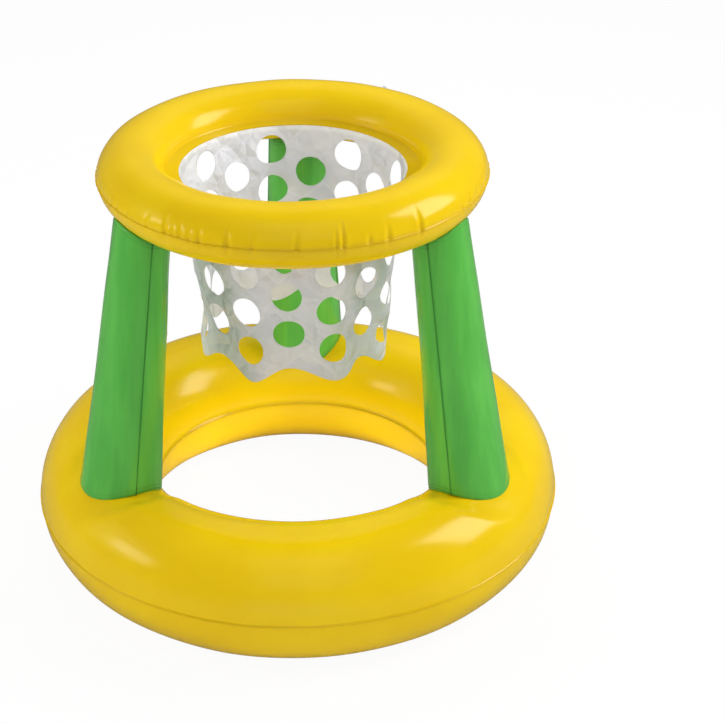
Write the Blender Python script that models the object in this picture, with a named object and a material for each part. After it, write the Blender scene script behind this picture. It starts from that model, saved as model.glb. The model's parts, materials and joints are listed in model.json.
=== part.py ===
"""Inflatable pool basketball hoop, in metres, +Z up, standing on z = 0 with its axis on the Z axis.

A wide base ring and a smaller rim ring are each welded from an upper and a lower panel of vinyl
film. Three tapered legs, each with an outer and an inner panel and a patch at either end, join
the rings. A punched vinyl net hangs from the weld flange inside the rim. Each of the five air
chambers has a valve: a flange welded into its panel, a stem that pulls out to be blown into,
a plug on a strap, and a check flap at the stem's inner end.
"""

from math import atan2, cos, hypot, pi, radians, sin, tau

import bmesh
import bpy
from mathutils import Matrix, Vector

# Film, welds and the clearance that parts keep
FILM = 0.0003
CLEARANCE = 0.0003
SEAM_FIN = 0.0015
OVERRUN = 0.010

# Base ring: a tube bent round the axis
BASE_RADIUS = 0.259
BASE_HALF_WIDTH = 0.0745
BASE_HALF_HEIGHT = 0.0823
BASE_STEPS = 9

# Rim ring, with the broad weld flange that carries the net
RIM_RADIUS = 0.1934
RIM_HALF_WIDTH = 0.0410
RIM_HALF_HEIGHT = 0.0369
RIM_CENTRE_HEIGHT = 0.5167
RIM_FLANGE_WIDTH = 0.0154
RIM_STEPS = 7
RING_SIDES = 36

# Legs: centre line from near the base ring's middle to near the rim's, with both ends' widths
LEG_AZIMUTHS = {"left": 210, "right": -30, "rear": 90}
LEG_FOOT_OUTSET = 0.0044
LEG_HEAD_OUTSET = 0.0049
LEG_FOOT_WIDTH = 0.1191
LEG_HEAD_WIDTH = 0.0735
LEG_FLARE_POWER = 1.33
LEG_OUTER_DEPTH_SHARE = 0.80
LEG_INNER_DEPTH_SHARE = 1.00
LEG_STATIONS = 6
LEG_ARC_STEPS = 7
LEG_PATCH_SIDES = 4

# Net: a tapered skirt with staggered round holes and a scalloped lower edge
NET_DROP = 0.2357
NET_ARCH_SHARE = 0.0933
NET_FOOT_RADIUS = 0.1155
NET_COLLAR_WIDTH = 0.0100
NET_FOLD_DEPTH = 0.0025
NET_HOLE_DIAMETER = 0.0375
NET_FIRST_HOLE_SHARE = 0.1273
NET_HOLE_PITCH_SHARE = 0.2261
NET_LOBES = 8
NET_LOBE_HOLES = 4
NET_FIRST_LOBE_AZIMUTH = -115
NET_COLUMN_SHIFTS = (
    0, -0.3, 0.5, 1, 1, 1, 0.5, -2.2, -4.2, -5.5, -6.1, -7.5, -9.5, -7.5, -4, -0.8)
NET_SIDES = 32
NET_HOLE_SIDES = 10

# Valve, the same in all five chambers
VALVE_FLANGE_RADIUS = 0.0140
VALVE_FLANGE_THICKNESS = 0.0008
VALVE_FLANGE_PROUD = 0.0002
VALVE_COLLAR_WALL = 0.0010
VALVE_COLLAR_DEPTH = 0.0024
VALVE_BORE_RADIUS = 0.0040
VALVE_STEM_WALL = 0.0015
VALVE_STEM_DEPTH = 0.0090
VALVE_LIP_OVERHANG = 0.0015
VALVE_LIP_THICKNESS = 0.0012
VALVE_PLUG_RADIUS = 0.0065
VALVE_PLUG_THICKNESS = 0.0014
VALVE_PLUG_DEPTH = 0.0050
VALVE_PLUG_ROOT_RADIUS = 0.0036
VALVE_PLUG_TIP_RADIUS = 0.0026
VALVE_STRAP_WIDTH = 0.0050
VALVE_STRAP_REACH = 0.0025
VALVE_STRAP_SHARE = 0.8
VALVE_FLAP_RADIUS = 0.0047
VALVE_FLAP_THICKNESS = 0.0006
VALVE_SIDES = 16
RING_VALVE_AZIMUTH = 60
RING_VALVE_RISE = 35
LEG_VALVE_HEIGHT = 0.340

YELLOW = (0.90, 0.62, 0.01, 1)
GREEN = (0.09, 0.47, 0.09, 1)
NET_WHITE = (0.72, 0.72, 0.76, 1)
VALVE_WHITE = (0.82, 0.82, 0.78, 1)

BASE_CENTRE_HEIGHT = BASE_HALF_HEIGHT
LEG_FOOT_RADIUS = BASE_RADIUS + LEG_FOOT_OUTSET
LEG_HEAD_RADIUS = RIM_RADIUS + LEG_HEAD_OUTSET


def vinyl(name, colour, roughness):
    """A glossy vinyl finish."""
    material = bpy.data.materials.new(name)
    material.use_nodes = True
    shader = material.node_tree.nodes["Principled BSDF"]
    shader.inputs["Base Color"].default_value = colour
    shader.inputs["Roughness"].default_value = roughness
    material.diffuse_color = colour
    return material


def thick_path(points):
    """The closed outline of a film whose skin follows the points, with the film on their left."""
    legs = [(b - a).normalized() for a, b in zip(points, points[1:])]
    sides = [Vector((-leg.y, leg.x)) for leg in legs]
    before, after = [sides[0]] + sides, sides + [sides[-1]]
    inner = [p + FILM * (m + n) / (1 + m.dot(n)) for p, m, n in zip(points, before, after)]
    return points + inner[::-1]


def finish(name, mesh, material):
    """Turns a bmesh into an object with outward faces and smooth round walls."""
    bmesh.ops.remove_doubles(mesh, verts=mesh.verts, dist=FILM / 100)
    bmesh.ops.recalc_face_normals(mesh, faces=mesh.faces)
    data = bpy.data.meshes.new(name)
    mesh.to_mesh(data)
    mesh.free()
    data.shade_smooth()
    data.set_sharp_from_angle(angle=radians(40))
    obj = bpy.data.objects.new(name, data)
    bpy.context.scene.collection.objects.link(obj)
    if material:
        data.materials.append(material)
    return obj


def revolve(outline, sides, start=0.0, sweep=tau):
    """A bmesh of the closed (radius, height) outline turned round the Z axis."""
    mesh = bmesh.new()
    turn = Matrix.Rotation(start, 3, "Z")
    ring = [mesh.verts.new(turn @ Vector((r, 0, z))) for r, z in outline]
    if sweep == tau:
        pairs = [(a, b) for a, b in zip(ring, ring[1:] + ring[:1]) if a.co.x or b.co.x]
        geometry = ring + [mesh.edges.new(pair) for pair in pairs]
    else:
        face = mesh.faces.new(ring)
        geometry = [face, *face.edges, *face.verts]
    bmesh.ops.spin(mesh, geom=geometry, axis=(0, 0, 1), angle=sweep, steps=sides,
                   use_merge=sweep == tau)
    return mesh


def loft(outlines):
    """A bmesh of one closed solid through outlines that have the same number of points."""
    mesh = bmesh.new()
    rings = [[mesh.verts.new(point) for point in outline] for outline in outlines]
    for lower, upper in zip(rings, rings[1:]):
        for a, b, c, d in zip(lower, lower[1:] + lower[:1], upper[1:] + upper[:1], upper):
            mesh.faces.new((a, b, c, d))
    mesh.faces.new(rings[0][::-1])
    mesh.faces.new(rings[-1])
    return mesh


def hide(obj):
    """Marks a cutter, which is no piece of the hoop."""
    obj.hide_render = True
    obj.display_type = "WIRE"
    return obj


def boolean(obj, other, operation="DIFFERENCE"):
    """Cuts, joins or keeps what two solids share, exactly."""
    modifier = obj.modifiers.new(other.name, "BOOLEAN")
    modifier.operation = operation
    modifier.solver = "EXACT"
    modifier.object = other


def arc(half_width, half_height, steps):
    """Points of the upper half of an elliptic section, with its middle facet at full height."""
    rise = half_height / cos(pi / steps / 2)
    turns = [pi * step / steps for step in range(steps + 1)]
    return [(half_width * cos(turn), rise * sin(turn)) for turn in turns]


def ring_section(half_width, half_height, steps, extra):
    """The whole section of a ring, grown outwards by extra."""
    upper = arc(half_width + extra, half_height + extra, steps)
    return upper + [(-x, -z) for x, z in upper[1:-1]]


def ring_panels(prefix, radius, centre, half_width, half_height, steps, inner_fin):
    """The upper and lower panels of an inflated ring, which meet in the welds at its equators."""
    lift = CLEARANCE / 2 + FILM
    skin = [(x, lift + z) for x, z in arc(half_width, half_height - lift, steps)]
    skin = [(half_width + SEAM_FIN, lift), *skin, (-half_width - inner_fin, lift)]
    film = thick_path([Vector((radius + x, z)) for x, z in skin])
    panels = {}
    for side, sign in (("upper", 1), ("lower", -1)):
        outline = [(point.x, centre + sign * point.y) for point in film]
        panels[side] = finish(f"{prefix}_{side}_panel", revolve(outline, RING_SIDES), yellow)
    return panels


def ring_clearance(name, radius, centre, half_width, half_height, steps):
    """The space a ring fills, with the clearance that the legs' film keeps to it."""
    section = ring_section(half_width, half_height, steps, CLEARANCE)
    outline = [(radius + x, centre + z) for x, z in section]
    return hide(finish(name, revolve(outline, RING_SIDES), None))


def leg_centre(height):
    """The radius of a leg's centre line and half the leg's width, at a height."""
    share = (RIM_CENTRE_HEIGHT - height) / (RIM_CENTRE_HEIGHT - BASE_CENTRE_HEIGHT)
    radius = LEG_HEAD_RADIUS + (LEG_FOOT_RADIUS - LEG_HEAD_RADIUS) * share
    width = LEG_HEAD_WIDTH + (LEG_FOOT_WIDTH - LEG_HEAD_WIDTH) * share**LEG_FLARE_POWER
    return radius, width / 2


def leg_heights():
    """The heights of a leg's stations, from inside the base ring to inside the rim."""
    span = RIM_CENTRE_HEIGHT - BASE_CENTRE_HEIGHT
    return [BASE_CENTRE_HEIGHT + span * step / LEG_STATIONS for step in range(LEG_STATIONS + 1)]


def leg_panel(name, sign, depth_share, azimuth):
    """Half of a leg's wall: sign is 1 for the outer panel and -1 for the inner one."""
    outlines = []
    for height in leg_heights():
        radius, half_width = leg_centre(height)
        lift = CLEARANCE / 2 + FILM
        depth = half_width * depth_share - lift
        turns = [pi * step / LEG_ARC_STEPS for step in range(LEG_ARC_STEPS + 1)]
        skin = [(half_width * cos(turn), lift + depth * sin(turn)) for turn in turns]
        skin = [(half_width + SEAM_FIN, lift), *skin, (-half_width - SEAM_FIN, lift)]
        film = thick_path([Vector(point) for point in skin])
        outlines.append([(radius + sign * p.y, -sign * p.x, height) for p in film])
    panel = finish(name, loft(outlines), green)
    panel.rotation_euler.z = radians(azimuth)
    boolean(panel, base_clearance)
    boolean(panel, rim_clearance)
    return panel


def leg_hollow(name, azimuth):
    """The air space in a leg, inside its film by the clearance: it trims the end patches."""
    outlines = []
    inset = FILM + CLEARANCE
    for height in leg_heights():
        radius, half_width = leg_centre(height)
        outline = []
        for step in range(2 * LEG_ARC_STEPS):
            turn = pi * step / LEG_ARC_STEPS
            share = LEG_OUTER_DEPTH_SHARE if sin(turn) > 0 else LEG_INNER_DEPTH_SHARE
            x = (half_width * share - inset) * sin(turn)
            outline.append((radius + x, (inset - half_width) * cos(turn), height))
        outlines.append(outline)
    hollow = finish(name, loft(outlines), None)
    hollow.rotation_euler.z = radians(azimuth)
    return hide(hollow)


def leg_patch(name, ring, sign, hollow):
    """The film that closes a leg's end, along the ring's skin: sign is 1 at the foot."""
    radius, centre, half_width, half_height, steps = ring
    near, far = CLEARANCE, CLEARANCE + FILM
    film = arc(half_width + far, half_height + far, steps)
    film += arc(half_width + near, half_height + near, steps)[::-1]
    outline = [(radius + x, centre + sign * z) for x, z in film]
    sweep = tau * LEG_PATCH_SIDES / RING_SIDES
    patch = finish(name, revolve(outline, LEG_PATCH_SIDES, -sweep / 2, sweep), green)
    patch.rotation_euler = hollow.rotation_euler
    boolean(patch, hollow, "INTERSECT")


def net_shift(column):
    """How far the sheet stands from an even spacing at a hole column, in radians."""
    whole = int(column)
    first = NET_COLUMN_SHIFTS[whole % len(NET_COLUMN_SHIFTS)]
    second = NET_COLUMN_SHIFTS[(whole + 1) % len(NET_COLUMN_SHIFTS)]
    return radians(first + (second - first) * (column - whole))


def hoop_net():
    """The punched skirt, with a flat collar that lies under the rim's weld flange."""
    top = RIM_CENTRE_HEIGHT - CLEARANCE / 2 - FILM - CLEARANCE
    mouth = RIM_RADIUS - RIM_HALF_WIDTH - RIM_FLANGE_WIDTH
    foot = RIM_CENTRE_HEIGHT - NET_DROP
    film = thick_path([
        Vector((mouth + NET_COLLAR_WIDTH, top)), Vector((mouth, top)),
        Vector((NET_FOOT_RADIUS, foot))])
    first = radians(NET_FIRST_LOBE_AZIMUTH)
    mesh = revolve([(point.x, point.y) for point in film], NET_SIDES, first)
    for vert in mesh.verts:
        row = max(0, (top - FILM - vert.co.z) / (top - foot))
        azimuth = (atan2(vert.co.y, vert.co.x) - first) % tau
        wave = cos(NET_LOBES * azimuth)
        radius = vert.co.xy.length + NET_FOLD_DEPTH * row * wave
        azimuth += first + net_shift(azimuth * NET_LOBES / pi)
        vert.co.xy = radius * cos(azimuth), radius * sin(azimuth)
        vert.co.z += NET_DROP * NET_ARCH_SHARE * (1 - wave) / 2 * row
    # Both skins of the film split along the same diagonals, so that they can't cross
    bmesh.ops.triangulate(mesh, faces=mesh.faces, quad_method="SHORT_EDGE")
    net = finish("hoop_net", mesh, net_white)
    boolean(net, net_punch(top, mouth))
    return net


def net_punch(top, mouth):
    """The round punches that make the holes, one above another in staggered columns."""
    mesh = bmesh.new()
    reach = (mouth - NET_FOOT_RADIUS) / 2 + OVERRUN
    middle = (mouth + NET_FOOT_RADIUS) / 2
    for column in range(2 * NET_LOBES):
        azimuth = radians(NET_FIRST_LOBE_AZIMUTH) + pi * column / NET_LOBES + net_shift(column)
        between = column % 2
        for row in range(NET_LOBE_HOLES - between):
            drop_share = NET_FIRST_HOLE_SHARE + NET_HOLE_PITCH_SHARE * (row + between / 2)
            height = top - NET_DROP * drop_share
            place = Matrix.Rotation(azimuth, 4, "Z") @ Matrix.Translation((middle, 0, height))
            bmesh.ops.create_cone(
                mesh, cap_ends=True, segments=NET_HOLE_SIDES, depth=2 * reach,
                radius1=NET_HOLE_DIAMETER / 2, radius2=NET_HOLE_DIAMETER / 2,
                matrix=place @ Matrix.Rotation(pi / 2, 4, "Y"))
    return hide(finish("net_punch", mesh, None))


def frame_on(point, outward, upward):
    """A place on the skin: local Z points out of it, and local Y up along it."""
    outward.normalize()
    upward.normalize()
    turn = Matrix((upward.cross(outward), upward, outward)).transposed()
    return Matrix.Translation(point) @ turn.to_4x4()


def ring_seat(radius, centre, half_width, half_height):
    """Where a ring's valve sits, with the skin's two curvatures there."""
    turn = radians(RING_VALVE_RISE)
    x, z = half_width * cos(turn), half_height * sin(turn)
    spread = hypot(half_width * sin(turn), half_height * cos(turn))
    outward = Vector((half_height * cos(turn), 0, half_width * sin(turn)))
    upward = Vector((-half_width * sin(turn), 0, half_height * cos(turn)))
    bend_up = half_width * half_height / spread**3
    bend_across = outward.normalized().x / (radius + x)
    place = frame_on(Vector((radius + x, 0, centre + z)), outward, upward)
    return Matrix.Rotation(radians(RING_VALVE_AZIMUTH), 4, "Z") @ place, bend_across, bend_up


def leg_seat(azimuth):
    """Where a leg's valve sits, on the middle of its inner panel."""
    step = (RIM_CENTRE_HEIGHT - BASE_CENTRE_HEIGHT) / LEG_STATIONS
    walls = []
    for height in (LEG_VALVE_HEIGHT - step / 2, LEG_VALVE_HEIGHT, LEG_VALVE_HEIGHT + step / 2):
        radius, half_width = leg_centre(height)
        walls.append(Vector((radius - LEG_INNER_DEPTH_SHARE * half_width, 0, height)))
    upward = walls[2] - walls[0]
    outward = Vector((-upward.z, 0, upward.x))
    half_width = leg_centre(LEG_VALVE_HEIGHT)[1]
    bend_across = LEG_INNER_DEPTH_SHARE / half_width
    place = frame_on(walls[1], outward, upward)
    return Matrix.Rotation(radians(azimuth), 4, "Z") @ place, bend_across, 0.0


def turned(name, outline, material):
    """A small moulded piece turned round its own Z axis."""
    return finish(name, revolve(outline, VALVE_SIDES), material)


def strap_block(name, near, far, low, high, offset):
    """A flat strap stretch along Y, placed relative to an offset origin."""
    mesh = bmesh.new()
    size = Matrix.Diagonal((VALVE_STRAP_WIDTH, far - near, high - low, 1))
    middle = Vector((0, (near + far) / 2, (low + high) / 2)) - offset
    bmesh.ops.create_cube(mesh, size=1, matrix=Matrix.Translation(middle) @ size)
    return hide(finish(name, mesh, None))


def valve(prefix, seat, panel):
    """One valve, shut and pushed in, with the hole that its flange fills in the panel."""
    place, bend_across, bend_up = seat
    anchor = bpy.data.objects.new(f"{prefix}_seat", None)
    bpy.context.scene.collection.objects.link(anchor)
    anchor.matrix_world = place

    stem_radius = VALVE_BORE_RADIUS + VALVE_STEM_WALL
    hole = stem_radius + CLEARANCE
    collar = hole + VALVE_COLLAR_WALL
    lip = stem_radius + VALVE_LIP_OVERHANG
    top, under = VALVE_FLANGE_PROUD, VALVE_FLANGE_PROUD - VALVE_FLANGE_THICKNESS
    middle = (lip + VALVE_FLANGE_RADIUS) / 2
    collar_end = under - VALVE_COLLAR_DEPTH
    outline = [(hole, top), (lip, top), (middle, top), (VALVE_FLANGE_RADIUS, top),
               (VALVE_FLANGE_RADIUS, under), (middle, under), (lip, under), (collar, under),
               (collar, collar_end), (hole, collar_end)]
    mesh = revolve(outline, VALVE_SIDES)
    for vert in mesh.verts:
        reach = vert.co.xy.length
        if reach > lip:
            sag = (vert.co.x**2 * bend_across + vert.co.y**2 * bend_up) / 2
            vert.co.z -= sag * (1 - (lip / reach) ** 2)
    flange = finish(f"{prefix}_flange", mesh, valve_white)
    flange.parent = anchor

    lip_low = top + CLEARANCE
    lip_high = lip_low + VALVE_LIP_THICKNESS
    outline = [(VALVE_BORE_RADIUS, -VALVE_STEM_DEPTH), (stem_radius, -VALVE_STEM_DEPTH),
               (stem_radius, lip_low), (lip, lip_low), (lip, lip_high),
               (VALVE_BORE_RADIUS, lip_high)]
    stem = turned(f"{prefix}_stem", outline, valve_white)
    stem.parent = anchor
    hinge_reach = lip + VALVE_STRAP_REACH
    spare = (1 - VALVE_STRAP_SHARE) / 2
    tab = strap_block(
        f"{prefix}_strap_root", lip - VALVE_LIP_OVERHANG, hinge_reach,
        lip_low + VALVE_LIP_THICKNESS * spare, lip_high - VALVE_LIP_THICKNESS * spare, Vector())
    tab.parent = anchor
    boolean(stem, tab, "UNION")

    hinge = Vector((0, hinge_reach, lip_high + CLEARANCE / 2))
    cap_low = lip_high + CLEARANCE
    cap_high = cap_low + VALVE_PLUG_THICKNESS
    outline = [(0, cap_low - VALVE_PLUG_DEPTH), (VALVE_PLUG_TIP_RADIUS, cap_low - VALVE_PLUG_DEPTH),
               (VALVE_PLUG_ROOT_RADIUS, cap_low), (VALVE_PLUG_RADIUS, cap_low),
               (VALVE_PLUG_RADIUS, cap_high), (0, cap_high)]
    plug = turned(f"{prefix}_plug", outline, valve_white)
    plug.data.transform(Matrix.Translation(-hinge))
    plug.parent = stem
    plug.location = hinge
    strap = strap_block(
        f"{prefix}_strap", VALVE_PLUG_ROOT_RADIUS, hinge_reach,
        cap_low + VALVE_PLUG_THICKNESS * spare, cap_high - VALVE_PLUG_THICKNESS * spare, hinge)
    strap.parent = stem
    strap.location = hinge
    boolean(plug, strap, "UNION")

    pivot = Vector((0, VALVE_FLAP_RADIUS, -VALVE_STEM_DEPTH - CLEARANCE / 2))
    flap_high = -VALVE_STEM_DEPTH - CLEARANCE
    flap_low = flap_high - VALVE_FLAP_THICKNESS
    outline = [(0, flap_low), (VALVE_FLAP_RADIUS, flap_low), (VALVE_FLAP_RADIUS, flap_high),
               (0, flap_high)]
    flap = turned(f"{prefix}_flap", outline, valve_white)
    flap.data.transform(Matrix.Translation(-pivot))
    flap.parent = stem
    flap.location = pivot

    mesh = bmesh.new()
    bmesh.ops.create_cone(
        mesh, cap_ends=True, segments=VALVE_SIDES, depth=2 * VALVE_FLANGE_RADIUS,
        radius1=VALVE_FLANGE_RADIUS + CLEARANCE, radius2=VALVE_FLANGE_RADIUS + CLEARANCE)
    cutter = hide(finish(f"{prefix}_cutter", mesh, None))
    cutter.parent = anchor
    boolean(panel, cutter)


for old in list(bpy.data.objects):
    bpy.data.objects.remove(old)

yellow = vinyl("yellow_vinyl", YELLOW, 0.25)
green = vinyl("green_vinyl", GREEN, 0.25)
net_white = vinyl("net_vinyl", NET_WHITE, 0.4)
valve_white = vinyl("valve_vinyl", VALVE_WHITE, 0.35)

base = (BASE_RADIUS, BASE_CENTRE_HEIGHT, BASE_HALF_WIDTH, BASE_HALF_HEIGHT, BASE_STEPS)
rim = (RIM_RADIUS, RIM_CENTRE_HEIGHT, RIM_HALF_WIDTH, RIM_HALF_HEIGHT, RIM_STEPS)
base_panels = ring_panels("base", *base, SEAM_FIN)
rim_panels = ring_panels("rim", *rim, RIM_FLANGE_WIDTH)
base_clearance = ring_clearance("base_clearance", *base)
rim_clearance = ring_clearance("rim_clearance", *rim)
hoop_net()
valve("base_valve", ring_seat(*base[:4]), base_panels["upper"])
valve("rim_valve", ring_seat(*rim[:4]), rim_panels["upper"])

for side, azimuth in LEG_AZIMUTHS.items():
    leg_panel(f"{side}_leg_outer_panel", 1, LEG_OUTER_DEPTH_SHARE, azimuth)
    inner_panel = leg_panel(f"{side}_leg_inner_panel", -1, LEG_INNER_DEPTH_SHARE, azimuth)
    hollow = leg_hollow(f"{side}_leg_hollow", azimuth)
    leg_patch(f"{side}_leg_foot_patch", base, 1, hollow)
    leg_patch(f"{side}_leg_head_patch", rim, -1, hollow)
    valve(f"{side}_leg_valve", leg_seat(azimuth), inner_panel)

bpy.context.view_layer.update()
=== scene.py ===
"""The looks of an inflatable pool basketball hoop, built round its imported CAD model, in metres.

A wide yellow base ring, three tapered green legs, a smaller yellow rim ring and a punched milky
net, all of vinyl film. Each of the five air chambers has a soft white valve.
"""

import json
from math import acos, atan2, cos, hypot, pi, radians, sin, sqrt, tau

import bmesh
import bpy
import numpy as np
from mathutils import Matrix, Vector


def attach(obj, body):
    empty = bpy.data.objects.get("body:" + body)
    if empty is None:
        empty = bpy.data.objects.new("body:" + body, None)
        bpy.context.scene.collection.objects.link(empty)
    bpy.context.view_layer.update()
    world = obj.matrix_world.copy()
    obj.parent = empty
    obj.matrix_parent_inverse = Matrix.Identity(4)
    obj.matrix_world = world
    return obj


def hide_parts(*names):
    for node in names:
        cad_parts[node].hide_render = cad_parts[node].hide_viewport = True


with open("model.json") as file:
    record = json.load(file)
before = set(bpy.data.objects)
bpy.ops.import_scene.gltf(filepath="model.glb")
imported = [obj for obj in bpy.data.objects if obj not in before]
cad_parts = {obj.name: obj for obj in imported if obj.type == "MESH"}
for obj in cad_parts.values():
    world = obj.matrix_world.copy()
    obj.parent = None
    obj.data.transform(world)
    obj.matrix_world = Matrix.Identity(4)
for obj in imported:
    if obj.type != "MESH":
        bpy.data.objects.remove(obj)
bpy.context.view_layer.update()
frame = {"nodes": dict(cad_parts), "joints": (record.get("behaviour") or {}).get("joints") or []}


# ------------------------------------------------------------------------------------ Base ring
# The ring that floats or stands. It is an upper and a lower panel of glossy yellow vinyl film,
# welded along their outer and inner edges and blown up. Each weld stands out as a thin fin.

FILM = 0.0003
WELD_GAP = 0.0003
WELD_FIN = 0.0015
WAVES = 9

BASE = {"radius": 0.259, "centre": 0.0823, "half_width": 0.0745, "half_height": 0.0823,
        "inner_fin": WELD_FIN, "inner_weld_shade": 0.2, "outer_weld_shade": 0.3, "sides": 840,
        "arc_steps": 46, "flat_share": 0.985, "dip": 0.0055}
RING_SLICES = 12
SECTION_CROWDING = 1.2
MERGE = 0.00001
OUTER_SEAM_HALF = 0.0012
SEAM_WANDER = 0.0005
SEAM_WANDER_REACH = 0.006
SWELL_LENGTH = 0.11
SWELL_START = 0.02
PUCKER_BULGE = 0.4
PUCKER_BULGE_WIDTH = 3.2
PUCKER_START = 0.002
LOWER_PUCKER_SHARE = 0.55
BASE_SWELL = 0.0004
BASE_PUCKER_COUNT = 58
BASE_PUCKER_DEPTH = 0.00035
LEG_AZIMUTHS = {"left": 210, "right": -30, "rear": 90}
FOOT_PLACE = 0.2555
FOOT_REACH = (0.047, 0.056)
DIP_START = 1.12
DIP_WIDTH = 0.5


class Wire:
    """An output in a finish's node tree. Arithmetic on it adds Math nodes."""

    def __init__(self, tree, socket=None):
        self.tree = tree
        self.socket = socket

    def node(self, kind, settings, sockets, output=0):
        """Adds a node: its settings come first, then the values or links of its sockets."""
        added = self.tree.nodes.new("ShaderNode" + kind)
        for key, value in settings.items():
            setattr(added, key, value)
        for key, value in sockets.items():
            if isinstance(value, Wire):
                self.tree.links.new(value.socket, added.inputs[key])
            else:
                added.inputs[key].default_value = value
        return Wire(self.tree, added.outputs[output] if added.outputs else None)

    def math(self, operation, first, second):
        return self.node("Math", {"operation": operation}, {0: first, 1: second})

    def __add__(self, other):
        return self.math("ADD", self, other)

    def __radd__(self, other):
        return self.math("ADD", other, self)

    def __rsub__(self, other):
        return self.math("SUBTRACT", other, self)

    def __mul__(self, other):
        return self.math("MULTIPLY", self, other)

    def __rmul__(self, other):
        return self.math("MULTIPLY", other, self)

    def rise(self, low, high):
        """0 below low and 1 above high, with a soft step between."""
        return self.node("MapRange", {"interpolation_type": "SMOOTHSTEP"},
                         {"Value": self, "From Min": low, "From Max": high})

    def blend(self, share, first, second):
        """The first colour, turning into the second as share goes from 0 to 1."""
        return self.node("Mix", {"data_type": "RGBA"}, {0: share, 6: first, 7: second}, 2)


def finish_of(name, shade):
    """A material whose shader sockets are what shade gives for a fresh node tree."""
    finish = bpy.data.materials.new(name)
    finish.use_nodes = True
    finish.node_tree.nodes.clear()
    tree = Wire(finish.node_tree)
    surface = tree.node("BsdfPrincipled", {}, shade(tree))
    tree.node("OutputMaterial", {}, {"Surface": surface})
    return finish


def vinyl(name, colour, weld_shade_colour, pale_and_sheen, drawn):
    """Glossy welded film: cloudy, rougher at the welds and darkened there with painted shade, and
    with bump ripples and lighter streaks of painted sheen where it is drawn upwards.
    """
    def shade(tree):
        place = tree.node("TexCoord", {}, {}, "Object")
        weld_and_painted_light = tree.node("Attribute", {"attribute_name": "weld_and_painted_light"}, {}, "Fac")
        cloud = tree.node("TexNoise", {}, {"Vector": place, "Scale": 11.0, "Detail": 2.0}, "Fac")
        peel = tree.node("TexNoise", {}, {"Vector": place, "Scale": 420.0, "Detail": 1.0}, "Fac")
        handled = tree.node("TexNoise", {},
                            {"Vector": place, "Scale": 34.0, "Detail": 4.0}, "Fac")
        share = cloud.rise(0.35, 0.7)
        height = peel * 0.12 + handled * 0.5
        if drawn:
            upright = tree.node("Mapping", {}, {"Vector": place, "Scale": (55.0, 55.0, 2.2)})
            streak = tree.node("TexNoise", {},
                               {"Vector": upright, "Scale": 1.0, "Detail": 3.0}, "Fac")
            # On the legs the streaks lighten the colour as painted sheen on the drawn ripples;
            # the ripples' relief comes from the bump height.
            share = share * (1 - drawn) + streak.rise(0.3, 0.7) * drawn
            height = height + streak * (2.5 * drawn)
        return {
            # Blending towards the shade colour by the mask paints shade into the welds and the
            # legs' ends.
            "Base Color": tree.blend(weld_and_painted_light * 0.75, tree.blend(share, colour, pale_and_sheen), weld_shade_colour),
            "Roughness": handled * 0.08 + 0.13 + weld_and_painted_light * 0.15,
            "Specular IOR Level": 0.4,
            "Normal": tree.node("Bump", {}, {"Strength": 0.25, "Distance": 0.0004,
                                             "Height": height}, "Normal"),
        }
    return finish_of(name, shade)


def swell(points, length, seed):
    """A smooth random field over the points, about -1 to 1, with waves about so long."""
    draw = np.random.default_rng(seed)
    field = np.zeros(len(points))
    for _ in range(WAVES):
        way = draw.normal(size=3)
        way *= tau / (length * draw.uniform(0.7, 1.5) * np.linalg.norm(way))
        field += np.sin(points @ way + draw.uniform(0, tau))
    return field / sqrt(WAVES)


def face_outwards(mesh, way):
    """Turns an open sheet's faces so that the one that lies farthest along way faces along it."""
    bmesh.ops.recalc_face_normals(mesh, faces=mesh.faces)
    farthest = max(mesh.faces, key=lambda face: face.calc_center_median().dot(way))
    if farthest.normal.dot(way) < 0:
        bmesh.ops.reverse_faces(mesh, faces=mesh.faces)


def settle(name, mesh, finish, film=0.0):
    """Turns a bmesh into a smooth object in the scene, with a film's thickness if it has one."""
    data = bpy.data.meshes.new(name)
    mesh.to_mesh(data)
    mesh.free()
    data.shade_smooth()
    data.materials.append(finish)
    piece = bpy.data.objects.new(name, data)
    bpy.context.scene.collection.objects.link(piece)
    if film:
        wall = piece.modifiers.new("film", "SOLIDIFY")
        wall.thickness = film
        wall.offset = -1
    return piece


def points_of(data):
    """The mesh's vertices as an array."""
    flat = np.zeros(3 * len(data.vertices))
    data.vertices.foreach_get("co", flat)
    return flat.reshape(-1, 3)


def place_points(data, points, weld_and_painted_light):
    """Moves the mesh's vertices, and records how near each is to a welded seam, as a mask for
    roughness, opacity, painted shade and painted highlight.
    """
    data.vertices.foreach_set("co", points.ravel())
    data.attributes.new("weld_and_painted_light", "FLOAT", "POINT").data.foreach_set("value", weld_and_painted_light)
    data.update()


def random_puckers(seed, count, gap_low, gap_high, depth):
    """Puckers (azimuth, half width, depth, reach) at random steps round a ring's outer seam."""
    draw = np.random.default_rng(seed)
    azimuths = np.linspace(gap_low, gap_high, count) + draw.uniform(-1.8, 1.8, count)
    return [(azimuth, draw.uniform(0.0019, 0.0034), depth * draw.uniform(0.3, 1),
             draw.uniform(0.010, 0.027)) for azimuth in azimuths]


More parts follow.
